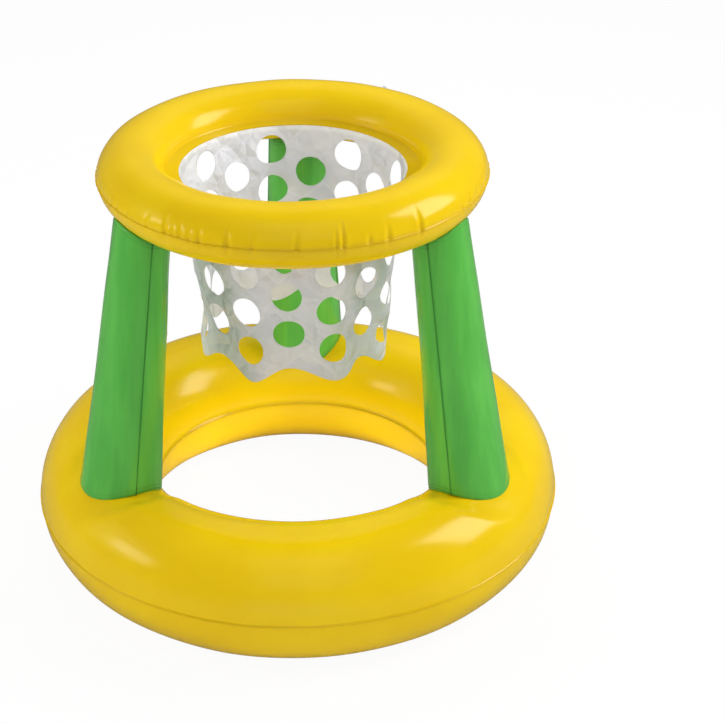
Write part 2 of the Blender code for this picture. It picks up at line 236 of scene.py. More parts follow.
def ring_panel(name, ring, side, puckers, swell_depth, seed):
    """One panel of a ring: its section spun round the axis, and drawn in at the puckers."""
    radius, centre, steps = ring["radius"], ring["centre"], ring["arc_steps"]
    half_width, half_height = ring["half_width"], ring["half_height"]
    lift = WELD_GAP / 2 + FILM
    turns = [pi * (step / steps) ** SECTION_CROWDING for step in range(steps + 1)]
    rise = (half_height - lift) / ring["flat_share"]
    section = [(half_width + WELD_FIN, lift)]
    section += [(half_width * cos(turn), min(half_height, lift + rise * sin(turn)))
                for turn in turns]
    section += [(-half_width - ring["inner_fin"], lift)]
    mesh = bmesh.new()
    chain = [mesh.verts.new((radius + x, 0, centre + side * z)) for x, z in section]
    edges = [mesh.edges.new(pair) for pair in zip(chain, chain[1:])]
    slice_turn = tau / RING_SLICES
    bmesh.ops.spin(mesh, geom=chain + edges, axis=(0, 0, 1), angle=slice_turn,
                   steps=ring["sides"] // RING_SLICES)
    bmesh.ops.spin(mesh, geom=mesh.verts[:] + mesh.edges[:] + mesh.faces[:], axis=(0, 0, 1),
                   angle=tau - slice_turn, steps=RING_SLICES - 1, use_duplicate=True)
    bmesh.ops.remove_doubles(mesh, verts=mesh.verts, dist=MERGE)
    face_outwards(mesh, Vector((0, 0, side)))
    panel = settle(name, mesh, yellow_vinyl, FILM)

    points = points_of(panel.data)
    reach = np.hypot(points[:, 0], points[:, 1])
    azimuth = np.degrees(np.arctan2(points[:, 1], points[:, 0]))
    out, up = reach - radius, points[:, 2] - centre
    climb = np.hypot(out - half_width, up)
    # Along the outer and inner welds the mask darkens the film: painted shade of the seam's
    # groove and fin. It also makes the film rougher there.
    inner_weld_shade = ring["inner_weld_shade"] * (out < -half_width + MERGE)
    weld_and_painted_light = np.maximum(ring["outer_weld_shade"] * np.exp(-(climb / OUTER_SEAM_HALF) ** 2), inner_weld_shade)
    normal = np.stack([out / half_width**2, up / half_height**2])
    normal /= np.linalg.norm(normal, axis=0)
    start = np.minimum(1, 0.5 + 0.5 * climb / PUCKER_START)
    share = 1 if side > 0 else LOWER_PUCKER_SHARE
    drawn = swell_depth * swell(points, SWELL_LENGTH, seed) * np.minimum(1, climb / SWELL_START)
    for middle, width, depth, length in puckers:
        across = np.radians((azimuth - middle + 180) % 360 - 180) * (radius + half_width)
        groove = np.exp(-(across / width) ** 2)
        groove -= PUCKER_BULGE * np.exp(-(across / (PUCKER_BULGE_WIDTH * width)) ** 2)
        fade = np.clip(1 - climb / (share * length), 0, 1) ** 1.4
        drawn += share * depth * groove * start * fade
    out -= normal[0] * drawn
    up -= normal[1] * drawn
    wander = swell(points * (1, 1, 0), 0.06, 4)
    up += SEAM_WANDER * wander * np.exp(-climb / SEAM_WANDER_REACH)
    crown = ring["dip"] * np.clip((side * normal[1] - 0.3) / 0.3, 0, 1) * (side > 0)
    for foot in LEG_AZIMUTHS.values():
        across = np.radians((azimuth - foot + 180) % 360 - 180) * reach
        far = np.hypot((reach - FOOT_PLACE) / FOOT_REACH[0], across / FOOT_REACH[1])
        up -= crown * (1 + np.cos(pi * np.clip((far - DIP_START) / DIP_WIDTH, 0, 1))) / 2
    turn = np.radians(azimuth)
    points = np.stack([(radius + out) * np.cos(turn), (radius + out) * np.sin(turn),
                       np.maximum(0, centre + up)], 1)
    place_points(panel.data, points, weld_and_painted_light)
    return panel


# The second colour, the darker one, is painted shade at the welds.
yellow_vinyl = vinyl("yellow_vinyl", (0.88, 0.585, 0.003, 1), (0.60, 0.34, 0.002, 1),
                     (0.91, 0.625, 0.004, 1), 0.0)
base_puckers = random_puckers(11, BASE_PUCKER_COUNT, -178, 176, BASE_PUCKER_DEPTH)
for side, label in ((1, "upper"), (-1, "lower")):
    skin = ring_panel(f"base_{label}_skin", BASE, side, base_puckers, BASE_SWELL, 21)
    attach(skin, "skin")
    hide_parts(f"base_{label}_panel")


# ------------------------------------------------------------------------------------- Rim ring
# The hoop at the top of the legs: the same yellow film in two panels. Its outer weld pulls the
# film into short puckers, and the inner weld is a broad flange that carries the net.

RIM = {"radius": 0.1934, "centre": 0.5167, "half_width": 0.0410, "half_height": 0.0369,
       "inner_fin": 0.0154, "inner_weld_shade": 0.3, "outer_weld_shade": 0.6, "sides": 1152,
       "arc_steps": 38, "flat_share": 1.0, "dip": 0.0}
RIM_SWELL = 0.0003
REAR_PUCKER_COUNT = 32
REAR_PUCKER_DEPTH = 0.0034
FRONT_PUCKERS = [
    (-151.2, 0.0029, 0.0016, 0.013), (-147.8, 0.0035, 0.0026, 0.020),
    (-142.0, 0.0029, 0.0016, 0.015), (-139.2, 0.0026, 0.0014, 0.013),
    (-132.8, 0.0032, 0.0026, 0.022), (-125.7, 0.0032, 0.0039, 0.033),
    (-122.8, 0.0026, 0.0020, 0.016), (-120.5, 0.0032, 0.0026, 0.022),
    (-117.5, 0.0028, 0.0020, 0.016), (-114.4, 0.0032, 0.0029, 0.021),
    (-106.1, 0.0032, 0.0038, 0.031), (-99.2, 0.0032, 0.0026, 0.025),
    (-87.2, 0.0032, 0.0030, 0.031), (-76.4, 0.0023, 0.0028, 0.028),
    (-74.5, 0.0023, 0.0038, 0.037), (-67.0, 0.0032, 0.0022, 0.017),
    (-61.3, 0.0032, 0.0033, 0.026), (-50.6, 0.0030, 0.0046, 0.032),
    (-32.8, 0.0029, 0.0026, 0.018), (-28.0, 0.0032, 0.0032, 0.022),
    (-22.0, 0.0032, 0.0026, 0.018)]

rim_puckers = FRONT_PUCKERS + random_puckers(7, REAR_PUCKER_COUNT, -15, 202, REAR_PUCKER_DEPTH)
for side, label in ((1, "upper"), (-1, "lower")):
    skin = ring_panel(f"rim_{label}_skin", RIM, side, rim_puckers, RIM_SWELL, 31)
    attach(skin, "skin")
    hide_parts(f"rim_{label}_panel")


# ----------------------------------------------------------------------------------------- Legs
# Three tapered green columns between the rings. Each is an outer and an inner panel of vinyl
# film, welded down both sides, with a patch at either end that turns under and shuts the air in.

LEG_FOOT_RADIUS = 0.2634
LEG_HEAD_RADIUS = 0.1983
LEG_FOOT_WIDTH = 0.1191
LEG_HEAD_WIDTH = 0.0735
LEG_FLARE_POWER = 1.33
LEG_DEPTH_SHARES = {1: 0.80, -1: 1.00}
LEG_COLUMNS = 62
LEG_ROWS = 118
LEG_END_ROWS = 9
LEG_SEAT = 0.0004
LEG_TURN = 0.0036
LEG_PATCH_ROWS = 8
LEG_CORNER_ROUNDNESS = 0.4
LEG_ROW_CROWDING = 0.85
LEG_SEAM_HALF = 0.0012
LEG_STITCH_PLACE = 0.004
LEG_STITCH_HALF = 0.0009
LEG_SEAM_DEPTH = 0.0005
LEG_FOOT_CREASES = 7
LEG_HEAD_CREASES = 5
LEG_SWELL = 0.0005
LEG_CENTRE_RADIUS = 0.23
LANDING_STEPS = 30
FILM_MERGE = 0.00005


def leg_wall(height):
    """The radius of a leg's centre line and half its width, at a height."""
    share = (RIM["centre"] - height) / (RIM["centre"] - BASE["centre"])
    radius = LEG_HEAD_RADIUS + (LEG_FOOT_RADIUS - LEG_HEAD_RADIUS) * share
    width = LEG_HEAD_WIDTH + (LEG_FOOT_WIDTH - LEG_HEAD_WIDTH) * max(0, share) ** LEG_FLARE_POWER
    return radius, width / 2


def wall_point(turn, side, height, inset=0.0):
    """A point of a leg's wall: side is 1 on the outer panel and -1 on the inner one."""
    radius, half_width = leg_wall(height)
    lift = WELD_GAP / 2 + FILM
    depth = half_width * LEG_DEPTH_SHARES[side] - lift
    x = side * (lift + (depth - inset) * sin(turn))
    return Vector((radius + x, -side * (half_width - inset) * cos(turn), height))


def inside(ring, point):
    """Below 0 inside a ring's skin, and above 0 outside it."""
    out = (hypot(point.x, point.y) - ring["radius"]) / (ring["half_width"] + LEG_SEAT)
    up = (point.z + ring["dip"] - ring["centre"]) / (ring["half_height"] + LEG_SEAT)
    return out**2 + up**2 - 1


def landing(turn, side, ring, inset):
    """The height at which a leg's wall comes to a ring."""
    clear, sunk = 0.3, ring["centre"]
    for _ in range(LANDING_STEPS):
        middle = (clear + sunk) / 2
        if inside(ring, wall_point(turn, side, middle, inset)) > 0:
            clear = middle
        else:
            sunk = middle
    return clear


def leg_end(turn, side, ring, way):
    """The turned-under end of a leg's wall at one turn: where it starts, its corner, its rim."""
    roll = LEG_TURN * (1 - 0.3 * side * sin(turn))
    rim_height = landing(turn, side, ring, roll)
    corner_height = landing(turn, side, ring, 0)
    return (wall_point(turn, side, corner_height + way * roll * 1.2),
            wall_point(turn, side, corner_height + way * roll * 0.1),
            wall_point(turn, side, rim_height, roll))


def leg_panel(name, side, azimuth, seed):
    """Half of a leg's wall: a grid bent to the section, with its ends turned under."""
    mesh = bmesh.new()
    bmesh.ops.create_grid(mesh, x_segments=LEG_COLUMNS, y_segments=LEG_ROWS, size=0.5)
    draw = np.random.default_rng(seed)
    creases = [(draw.uniform(0.15, pi - 0.15), draw.uniform(0.0020, 0.0055),
                draw.uniform(0.0004, 0.0010), draw.uniform(0.03, 0.12), foot)
               for foot in [True] * LEG_FOOT_CREASES + [False] * LEG_HEAD_CREASES]
    last = LEG_COLUMNS - 1
    columns = []
    for column in range(LEG_COLUMNS + 1):
        share = min(max(column - 1, 0), last - 1) / (last - 1)
        turn = pi * share - LEG_CORNER_ROUNDNESS * sin(tau * share)
        columns.append((turn, leg_end(turn, side, BASE, 1), leg_end(turn, side, RIM, -1)))
    weld_and_painted_light = []
    for vert in mesh.verts:
        column = round((vert.co.x + 0.5) * LEG_COLUMNS)
        row = round((vert.co.y + 0.5) * LEG_ROWS)
        turn, foot, head = columns[column]
        seam = 0.0
        if row < LEG_END_ROWS or row > LEG_ROWS - LEG_END_ROWS:
            start, corner, rim = foot if row < LEG_END_ROWS else head
            share = min(row, LEG_ROWS - row) / LEG_END_ROWS
            point = rim * (1 - share) ** 2 + corner * 2 * share * (1 - share) + start * share**2
            seam = share**4
        else:
            share = (row - LEG_END_ROWS) / (LEG_ROWS - 2 * LEG_END_ROWS)
            share -= LEG_ROW_CROWDING * sin(tau * share) / tau
            height = foot[0].z + (head[0].z - foot[0].z) * share
            point = wall_point(turn, side, height)
            from_foot, from_head = height - foot[0].z, head[0].z - height
            near = min(from_foot, from_head)
            stitch = np.exp(-((near - LEG_STITCH_PLACE) / LEG_STITCH_HALF) ** 2)
            seam = max(np.exp(-(near / LEG_SEAM_HALF) ** 2), 0.6 * stitch)
            drawn = LEG_SEAM_DEPTH * seam
            for middle, width, depth, length, at_foot in creases:
                along = from_foot if at_foot else from_head
                across = (turn - middle) * leg_wall(height)[1]
                if along < length and abs(across) < 3 * width:
                    fade = (1 - along / length) ** 1.5 * min(1, along / 0.006 + 0.2)
                    drawn += depth * fade * np.exp(-(across / width) ** 2)
            inward = Vector((-side * sin(turn), side * cos(turn), 0))
            point += inward * (drawn * sin(turn))
        if column in (0, LEG_COLUMNS):
            point.y += WELD_FIN * (1 if point.y > 0 else -1) * min(1, 4 * share)
        # The mask darkens the side seams and the wall where it meets the rings: painted shade,
        # deeper on the inner panel than on the outer.
        side_seam = np.exp(-(min(column, LEG_COLUMNS - column) / 1.3) ** 2)
        weld_and_painted_light.append(side_seam * (0.8 + 0.4 * seam) + seam * (0.5 - 0.3 * side * sin(turn)))
        vert.co = point
    face_outwards(mesh, Vector((side, 0, 0)))
    bmesh.ops.rotate(mesh, cent=(0, 0, 0), matrix=Matrix.Rotation(radians(azimuth), 3, "Z"),
                     verts=mesh.verts)
    panel = settle(name, mesh, green_vinyl, FILM)
    points = points_of(panel.data)
    height = points[:, 2]
    quiet = np.clip((height - 0.19) / 0.05, 0, 1) * np.clip((0.47 - height) / 0.05, 0, 1)
    outward = points * (1, 1, 0)
    centre = Matrix.Rotation(radians(azimuth), 3, "Z") @ Vector((LEG_CENTRE_RADIUS, 0, 0))
    outward = outward - np.array([centre.x, centre.y, 0])
    outward /= np.linalg.norm(outward, axis=1)[:, None]
    weld_and_painted_light = np.array(weld_and_painted_light)
    points += outward * (LEG_SWELL * swell(points, 0.14, seed) * quiet * (1 - weld_and_painted_light))[:, None]
    place_points(panel.data, points, weld_and_painted_light)
    return panel


def leg_patch(name, ring, way, azimuth):
    """The film that shuts a leg's end and lies along the ring."""
    mesh = bmesh.new()
    around = 2 * LEG_COLUMNS
    bmesh.ops.create_grid(mesh, x_segments=around, y_segments=LEG_PATCH_ROWS, size=0.5)
    rims = []
    for column in range(around + 1):
        turn = tau * column / around
        side = 1 if turn <= pi else -1
        rims.append(leg_end(turn if side > 0 else turn - pi, side, ring, way)[2])
    middle = sum(rims[:-1], Vector()) / around
    for vert in mesh.verts:
        share = 1.01 * (vert.co.y + 0.5)
        point = rims[round((vert.co.x + 0.5) * around)].lerp(middle, min(1, share + 0.02))
        out = (hypot(point.x, point.y) - ring["radius"]) / (ring["half_width"] + LEG_SEAT)
        rise = way * (ring["half_height"] + LEG_SEAT) * sqrt(1 - out**2)
        point.z = ring["centre"] - ring["dip"] + rise
        vert.co = point
    bmesh.ops.remove_doubles(mesh, verts=mesh.verts, dist=FILM_MERGE)
    face_outwards(mesh, Vector((0, 0, way)))
    bmesh.ops.reverse_faces(mesh, faces=mesh.faces)
    bmesh.ops.rotate(mesh, cent=(0, 0, 0), matrix=Matrix.Rotation(radians(azimuth), 3, "Z"),
                     verts=mesh.verts)
    patch = settle(name, mesh, green_vinyl, FILM)
    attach(patch, "skin")
    return patch


# The second colour is painted shade at the welds and the legs' ends, and the streaks towards the
# third colour are painted sheen.
green_vinyl = vinyl("green_vinyl", (0.092, 0.44, 0.062, 1), (0.02, 0.17, 0.02, 1),
                    (0.127, 0.54, 0.080, 1), 0.8)
for number, (place, azimuth) in enumerate(LEG_AZIMUTHS.items()):
    for side, label in ((1, "outer"), (-1, "inner")):
        skin = leg_panel(f"{place}_leg_{label}_skin", side, azimuth, 40 + 2 * number + side)
        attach(skin, "skin")
        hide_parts(f"{place}_leg_{label}_panel")
    foot_patch = leg_patch(f"{place}_leg_foot_end", BASE, 1, azimuth)
    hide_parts(f"{place}_leg_foot_patch")
    head_patch = leg_patch(f"{place}_leg_head_end", RIM, -1, azimuth)
    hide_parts(f"{place}_leg_head_patch")


# ------------------------------------------------------------------------------------------ Net
# A skirt of milky, soft vinyl film, punched with round holes in staggered columns and cut to
# eight lobes at its lower edge. A flat collar at its top is welded under the rim's flange.

NET_TOP = 0.51595
NET_DROP = 0.23495
NET_ARCH_RISE = 0.0220
NET_MOUTH_RADIUS = 0.1370
NET_FOOT_RADIUS = 0.1155
NET_COLLAR_WIDTH = 0.0100
NET_BEND = 0.0015
NET_FOLD_DEPTH = 0.0025
NET_HOLE_RADIUS = 0.01875
NET_FIRST_HOLE_DROP = 0.0300
NET_HOLE_PITCH = 0.0533
NET_LOBES = 8
NET_LOBE_HOLES = 4
NET_FIRST_LOBE = radians(-115)
NET_COLUMN_SHIFTS = (
    0, -0.3, -0.2, 1, 1, 1, 0.5, -2.2, -5.1, -5.0, -6.1, -6.3, -9.5, -7.5, -4, -0.8)
NET_COLUMN_RISES = (
    0, -0.0015, 0.0028, 0, 0, 0, -0.0032, -0.0070, -0.0025, -0.0031, 0.0005, -0.0002, 0.0019,
    0, 0, 0)
NET_LEAN_AZIMUTH = radians(-68)
NET_LEAN = radians(8.5)
NET_LEAN_SPREAD = 0.3
NET_SIDE_CRUMPLE = 1.2
NET_BROAD_SWELL = 0.0024
NET_FINE_SWELL = 0.0009
NET_SIDEWAYS_SWELL = 0.0014
NET_EDGE_SWELL = 0.0012
NET_HOLE_RIM = 1.25
NET_TOP_HIGHLIGHT_DEPTH = 0.0035
NET_COLUMNS = 432
NET_ROWS = 112
NET_COLLAR_ROWS = 4
NET_BEND_ROWS = 3
NET_CREASES = 54


def milky(tree):
    """Soft translucent film: milky, crumpled into flat facets from being folded, with painted
    highlight whitening its creases and the band at its top.
    """
    place = tree.node("TexCoord", {}, {}, "Object")
    cloud = tree.node("TexNoise", {}, {"Vector": place, "Scale": 13.0, "Detail": 3.0}, "Fac")
    warp = tree.node("VectorMath", {"operation": "ADD"}, {
        0: place, 1: tree.node("VectorMath", {"operation": "SCALE"}, {
            0: tree.node("TexNoise", {}, {"Vector": place, "Scale": 9.0}, "Color"),
            "Scale": 0.03})})
    facets = tree.node("TexVoronoi", {"feature": "DISTANCE_TO_EDGE"},
                       {"Vector": warp, "Scale": 19.0}, "Distance")
    fine = tree.node("TexVoronoi", {"feature": "DISTANCE_TO_EDGE"},
                     {"Vector": warp, "Scale": 47.0}, "Distance")
    weld_and_painted_light = tree.node("Attribute", {"attribute_name": "weld_and_painted_light"}, {}, "Fac")
    # The crease lines along the facet edges are lighter: painted highlight.
    crease_highlight = 1 - facets.rise(0, 0.05)
    film = tree.blend(cloud.rise(0.3, 0.7), (0.80, 0.82, 0.89, 1), (0.90, 0.91, 0.96, 1))
    return {
        # Creases and the band at the top are blended towards white as painted highlight, and both
        # also raise the opacity.
        "Base Color": tree.blend(crease_highlight * 0.16 + weld_and_painted_light * 0.7, film, (0.96, 0.97, 0.98, 1)),
        "Roughness": 0.20 + cloud * 0.15,
        "Alpha": 0.80 + 0.08 * cloud + 0.04 * crease_highlight + 0.1 * weld_and_painted_light,
        "Specular IOR Level": 0.5,
        "Normal": tree.node("Bump", {}, {"Strength": 0.8, "Distance": 0.015,
                                         "Height": facets + 0.35 * fine}, "Normal"),
    }


def net_hole(azimuth, height):
    """The nearest hole to a place on the net, as its azimuth and height."""
    column = round((azimuth - NET_FIRST_LOBE) / (pi / NET_LOBES))
    between = column % 2
    row = round((NET_TOP - NET_FIRST_HOLE_DROP - height) / NET_HOLE_PITCH - between / 2)
    row = min(max(row, 0), NET_LOBE_HOLES - 1 - between)
    return (NET_FIRST_LOBE + column * pi / NET_LOBES,
            NET_TOP - NET_FIRST_HOLE_DROP - NET_HOLE_PITCH * (row + between / 2))


def hole_stretch(azimuth):
    """How much wider and taller than round a hole is: the net's front is gathered a little."""
    return 1 + 0.08 * sin(azimuth), 1.03 - 0.03 * sin(azimuth)


def net_place(azimuth, row):
    """Radius and height of the net at a row of its grid."""
    if row <= NET_COLLAR_ROWS:
        return NET_MOUTH_RADIUS + NET_BEND + (NET_COLLAR_WIDTH - NET_BEND) * (
            1 - row / NET_COLLAR_ROWS), NET_TOP
    row -= NET_COLLAR_ROWS
    if row <= NET_BEND_ROWS:
        turn = pi / 2 * row / NET_BEND_ROWS
        return (NET_MOUTH_RADIUS + NET_BEND * (1 - sin(turn)),
                NET_TOP - NET_BEND * (1 - cos(turn)))
    share = (row - NET_BEND_ROWS) / (NET_ROWS - NET_COLLAR_ROWS - NET_BEND_ROWS)
    wave = cos(NET_LOBES * (azimuth - NET_FIRST_LOBE))
    height = NET_TOP - NET_BEND - (NET_DROP - NET_BEND) * share
    height += NET_ARCH_RISE * (1 - wave) / 2 * share
    radius = NET_MOUTH_RADIUS + (NET_FOOT_RADIUS - NET_MOUTH_RADIUS) * share
    return radius + NET_FOLD_DEPTH * share * wave, height


def hoop_net():
    """The skirt: a grid rolled into a cone, with its holes cut and their edges made round."""
    mesh = bmesh.new()
    bmesh.ops.create_grid(mesh, x_segments=NET_COLUMNS, y_segments=NET_ROWS, size=0.5)
    outside = set()
    for vert in mesh.verts:
        azimuth = tau * (round((vert.co.x + 0.5) * NET_COLUMNS) % NET_COLUMNS) / NET_COLUMNS
        radius, height = net_place(azimuth, round((0.5 - vert.co.y) * NET_ROWS))
        hole_azimuth, hole_height = net_hole(azimuth, height)
        wide, tall = hole_stretch(hole_azimuth)
        across = radius * sin(azimuth - hole_azimuth) / wide
        up = (height - hole_height) / tall
        reach = hypot(across, up)
        if reach > NET_HOLE_RADIUS:
            outside.add(vert)
        vert.co = (radius * cos(azimuth), radius * sin(azimuth), height)
    cut = [face for face in mesh.faces if sum(vert in outside for vert in face.verts) < 2]
    bmesh.ops.delete(mesh, geom=cut, context="FACES")
    bmesh.ops.remove_doubles(mesh, verts=mesh.verts, dist=FILM_MERGE)
    for vert in mesh.verts:
        if not vert.is_boundary:
            continue
        radius, azimuth = vert.co.xy.length, atan2(vert.co.y, vert.co.x)
        hole_azimuth, hole_height = net_hole(azimuth, vert.co.z)
        wide, tall = hole_stretch(hole_azimuth)
        across = radius * sin(azimuth - hole_azimuth) / wide
        up = (vert.co.z - hole_height) / tall
        reach = hypot(across, up)
        if reach < NET_HOLE_RADIUS * NET_HOLE_RIM:
            azimuth = hole_azimuth + wide * across * NET_HOLE_RADIUS / reach / radius
            vert.co = (radius * cos(azimuth), radius * sin(azimuth),
                       hole_height + tall * up * NET_HOLE_RADIUS / reach)
    face_outwards(mesh, Vector((1, 0, -1)))
    net = settle("net_sheet", mesh, net_vinyl, FILM)

    points = points_of(net.data)
    azimuth = np.arctan2(points[:, 1], points[:, 0])
    radius, height = np.hypot(points[:, 0], points[:, 1]), points[:, 2]
    row = np.clip((NET_TOP - 0.004 - height) / NET_DROP, 0, 1)
    loose = np.minimum(1, 6 * row)
    crumple = 1 + NET_SIDE_CRUMPLE * np.abs(np.cos(azimuth))
    moved = NET_BROAD_SWELL * row * crumple * swell(points, 0.12, 61)
    moved += NET_FINE_SWELL * loose * crumple * swell(points, 0.045, 62)
    draw = np.random.default_rng(63)
    for _ in range(NET_CREASES):
        middle, level = draw.uniform(-pi, pi), draw.uniform(0.30, 0.50)
        slope, half = draw.uniform(-1.1, 1.1), draw.uniform(0.02, 0.06)
        depth = draw.uniform(0.0007, 0.0018) * draw.choice((-1, 1))
        width = draw.uniform(0.003, 0.006)
        aside = ((azimuth - middle + pi) % tau - pi) * NET_FOOT_RADIUS
        above = height - level
        along = aside * cos(slope) + above * sin(slope)
        across = above * cos(slope) - aside * sin(slope)
        ridge = np.exp(-np.abs(across) / width) * np.clip(1 - np.abs(along) / half, 0, 1) ** 0.7
        moved += depth * loose * ridge
    column = (azimuth - NET_FIRST_LOBE) % tau * NET_LOBES / pi
    all_columns = range(2 * NET_LOBES + 1)
    shift = np.interp(column, all_columns, NET_COLUMN_SHIFTS + NET_COLUMN_SHIFTS[:1])
    lift = np.interp(column, all_columns, NET_COLUMN_RISES + NET_COLUMN_RISES[:1])
    lean = NET_LEAN * row**2 * np.exp(-((azimuth - NET_LEAN_AZIMUTH) / NET_LEAN_SPREAD) ** 2)
    sideways = NET_SIDEWAYS_SWELL * loose * swell(points, 0.08, 64)
    azimuth += np.radians(shift) + lean + sideways / radius
    height += NET_EDGE_SWELL * loose * row * swell(points, 0.07, 65)
    height += lift * loose * np.clip((1 - row) / 0.2, 0, 1)
    radius += moved
    points = np.stack([radius * np.cos(azimuth), radius * np.sin(azimuth), height], 1)
    # Within a few millimetres of the top, the mask whitens the film with painted highlight along
    # its bend under the flange and makes it more opaque.
    place_points(net.data, points, np.clip(2 - (NET_TOP - height) / NET_TOP_HIGHLIGHT_DEPTH, 0, 1))
    return net


net_vinyl = finish_of("net_vinyl", milky)
net_sheet = hoop_net()
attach(net_sheet, "skin")
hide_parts("hoop_net")


# --------------------------------------------------------------------------------------- Valves
# Each air chamber fills through a valve of soft, milky vinyl: a flange welded into the film, a
# stem that pops in flush, a plug on a strap, and a flap inside that holds the air meanwhile.

VALVE_FILMS = {"base": "base_upper_skin", "rim": "rim_upper_skin",
               "left_leg": "left_leg_inner_skin", "right_leg": "right_leg_inner_skin",
               "rear_leg": "rear_leg_inner_skin"}
VALVE_LIP_RADIUS = 0.0070
VALVE_SEAT_RADIUS = 0.01415
VALVE_STRAP_ROOT = 0.0095
VALVE_HINGE_RISE = 0.00185
VALVE_ROUND_STEPS = 64
VALVE_STRAP_WIDTH = 0.005
STEM_STRAP = {"start": 0.0062, "end": 0.0091, "low": 0.00062, "high": 0.00158}
PLUG_STRAP = {"start": 0.0055, "end": VALVE_STRAP_ROOT, "low": 0.00214, "high": 0.00326}
STRAP_EDGE = 0.00025
STRAP_ROOT_RISE = 0.0004
STRAP_ROOT_RADIUS = 0.0005
MOULDING_EDGE = 0.00012
FLANGE_SECTION = [
    (0.0058, 0.0002), (0.0078, 0.0002), (0.0088, 0.0002), (0.0091, 0.0004), (0.0094, 0.0002),
    (0.0108, 0.0002), (0.0121, 0.0002), (0.0124, 0.0004), (0.0127, 0.0002), (0.0137, 0.0002),
    (0.0140, -0.0001), (0.0140, -0.0006), (0.0120, -0.0006), (0.0095, -0.0006),
    (0.0068, -0.0006), (0.0068, -0.0030), (0.0058, -0.0030)]
STEM_SECTION = [
    (0.0040, -0.0090), (0.0055, -0.0090), (0.0055, 0.0005), (0.0066, 0.0005), (0.0070, 0.0008),
    (0.0070, 0.0014), (0.0067, 0.0017), (0.0044, 0.0017), (0.0040, 0.0013)]
PLUG_SECTION = [
    (0, 0.0029), (0.0044, 0.0029), (0.0050, 0.0034), (0.0061, 0.0034), (0.0065, 0.0031),
    (0.0065, 0.0023), (0.0062, 0.0020), (0.0036, 0.0020), (0.0036, 0.0004), (0.0034, -0.0010),
    (0.0029, -0.0027), (0.0025, -0.0030), (0, -0.0030)]


def milky_moulding(tree):
    """Soft moulded vinyl: nearly white, slightly cloudy and a little worn."""
    place = tree.node("TexCoord", {}, {}, "Object")
    cloud = tree.node("TexNoise", {}, {"Vector": place, "Scale": 160.0, "Detail": 2.0}, "Fac")
    grain = tree.node("TexNoise", {}, {"Vector": place, "Scale": 2600.0}, "Fac")
    return {
        "Base Color": tree.blend(cloud, (0.78, 0.79, 0.76, 1), (0.87, 0.87, 0.84, 1)),
        "Roughness": 0.26 + 0.2 * cloud,
        "Normal": tree.node("Bump", {}, {"Strength": 0.15, "Distance": 0.0002,
                                         "Height": grain}, "Normal"),
    }


def valve_seat(valve):
    """A valve's place, Z out of the film and Y to its strap, and how the film bends there."""
    joints = {joint["name"]: joint for joint in frame["joints"]}
    hinge = joints[f"{valve}_valve_plug_hinge"]
    out = Vector(joints[f"{valve}_valve_pull"]["axis"])
    across = -Vector(hinge["axis"])
    up = out.cross(across)
    point = Vector(hinge["pos_m"]) - up * VALVE_STRAP_ROOT - out * VALVE_HINGE_RISE
    place = Matrix.Translation(point) @ Matrix((across, up, out)).transposed().to_4x4()
    if valve.endswith("leg"):
        return place, LEG_DEPTH_SHARES[-1] / leg_wall(point.z)[1], 0.0
    ring = BASE if valve == "base" else RIM
    turn = acos((point.xy.length - ring["radius"]) / ring["half_width"])
    spread = hypot(ring["half_width"] * sin(turn), ring["half_height"] * cos(turn))
    return (place, out.xy.length / point.xy.length,
            ring["half_width"] * ring["half_height"] / spread**3)


def cut_seat(panel, place, bend_across, bend_up):
    """Cuts the round hole that a valve's flange fills, and lays the film flat round it."""
    mesh = bmesh.new()
    mesh.from_mesh(panel.data)
    back = place.inverted()
    near = {}
    for vert in mesh.verts:
        spot = back @ vert.co
        if spot.xy.length < 1.5 * VALVE_SEAT_RADIUS and abs(spot.z) < VALVE_SEAT_RADIUS:
            near[vert] = spot
    cut = [face for face in mesh.faces if all(vert in near for vert in face.verts)
           and sum(near[vert].xy.length > VALVE_SEAT_RADIUS for vert in face.verts) < 2]
    bmesh.ops.delete(mesh, geom=cut, context="FACES")
    for vert, spot in near.items():
        if not vert.is_valid:
            continue
        share = min(1, 3 - 2 * spot.xy.length / VALVE_SEAT_RADIUS)
        if vert.is_boundary:
            spot.xy *= VALVE_SEAT_RADIUS / spot.xy.length
            share = 1
        level = -(spot.x**2 * bend_across + spot.y**2 * bend_up) / 2
        spot.z += (level - spot.z) * share
        vert.co = place @ spot
    mesh.to_mesh(panel.data)
    mesh.free()


def turned(section, closed):
    """A round moulding: its section, given as radii and heights, spun round the axis."""
    mesh = bmesh.new()
    chain = [mesh.verts.new((radius, 0, height)) for radius, height in section]
    pairs = list(zip(chain, chain[1:] + chain[:1]))
    edges = [mesh.edges.new(pair) for pair in (pairs if closed else pairs[:-1])]
    bmesh.ops.spin(mesh, geom=chain + edges, axis=(0, 0, 1), angle=tau,
                   steps=VALVE_ROUND_STEPS, use_merge=True)
    bmesh.ops.remove_doubles(mesh, verts=mesh.verts, dist=0.000001)
    return mesh


def strap(mesh, start, end, low, high):
    """A flat soft strap from the moulding towards the root that it folds at."""
    size = Vector((VALVE_STRAP_WIDTH, end - start, high - low))
    middle = Vector((0, (end + start) / 2, (low + high) / 2))
    made = bmesh.ops.create_cube(mesh, size=1, matrix=Matrix.Translation(middle)
                                 @ Matrix.Diagonal(size.to_4d()))
    edges = list({edge for vert in made["verts"] for edge in vert.link_edges})
    bmesh.ops.bevel(mesh, geom=edges, affect="EDGES", offset=STRAP_EDGE, segments=3,
                    profile=0.5, material=-1)


def valve_piece(name, mesh, place, body):
    """Sets a moulding in its seat, on its body, in the place of its CAD node."""
    bmesh.ops.recalc_face_normals(mesh, faces=mesh.faces)
    bmesh.ops.transform(mesh, matrix=place, verts=mesh.verts)
    piece = settle(f"{name}_form", mesh, valve_vinyl)
    edges = piece.modifiers.new("edges", "BEVEL")
    edges.width = MOULDING_EDGE
    edges.segments = 2
    edges.limit_method = "ANGLE"
    edges.angle_limit = radians(40)
    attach(piece, body)
    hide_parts(name)
    return piece


